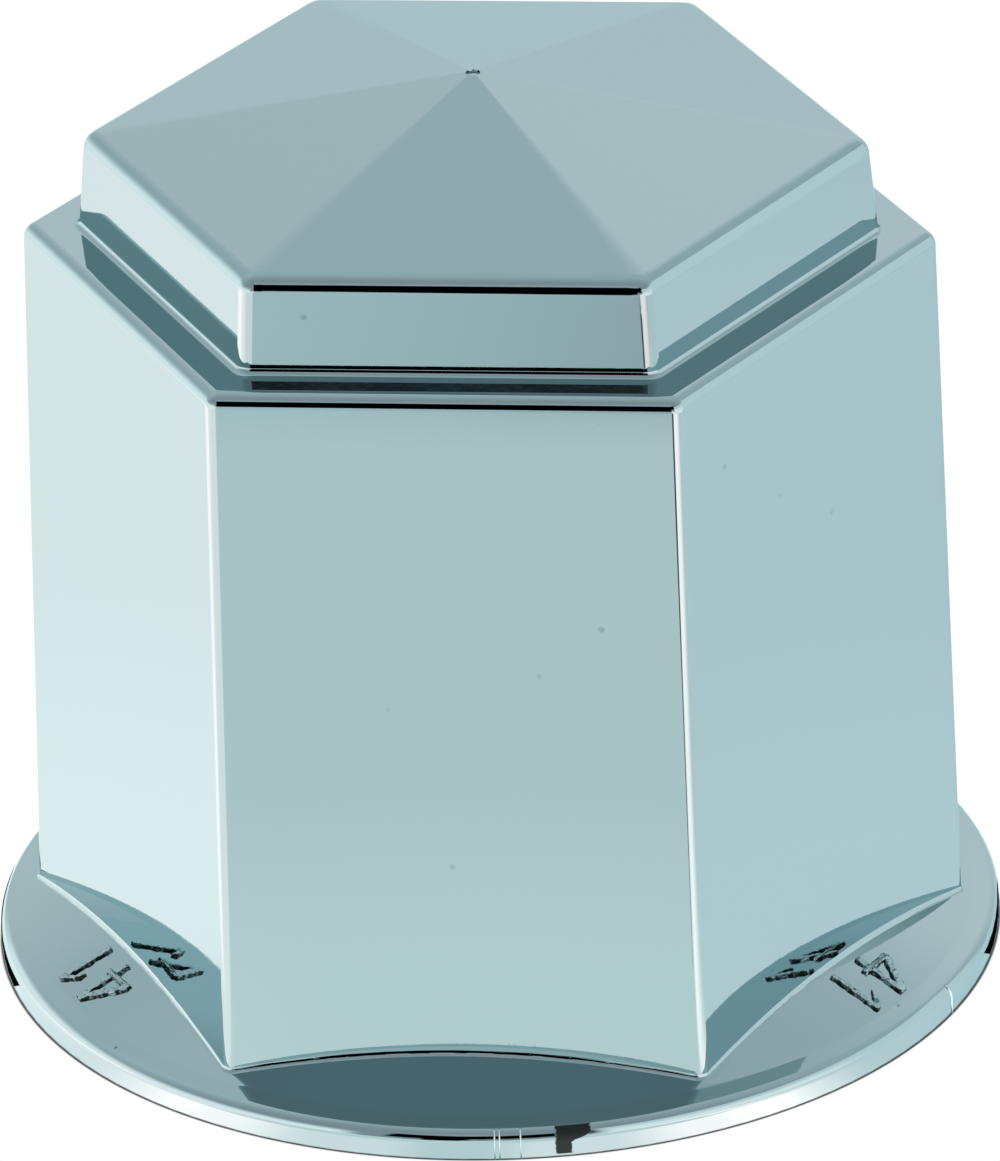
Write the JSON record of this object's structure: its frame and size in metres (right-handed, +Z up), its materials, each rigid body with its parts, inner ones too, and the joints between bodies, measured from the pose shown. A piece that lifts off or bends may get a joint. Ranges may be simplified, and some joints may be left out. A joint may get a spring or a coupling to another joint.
{
  "type": "wheel nut cover cap",
  "caption": "Hollow hexagonal push-on cap with a stepped, roofed crown and a round conical flange; covers a truck wheel nut and stud end. Chrome-plated moulded plastic.",
  "frame": {"origin": "on the cap's axis, in the plane that the flange's rim stands on", "axes": "+Z up the axis from the open mouth to the crown; two corners of the hexagon on the X axis, one flat facing -Y"},
  "size_m": [0.056, 0.056, 0.0519],
  "materials": {
    "chrome_plate": "mirror-bright chrome plating on moulded plastic"
  },
  "bodies": {
    "root": {"nut_cover_cap": "chrome_plate"}
  },
  "joints": []
}
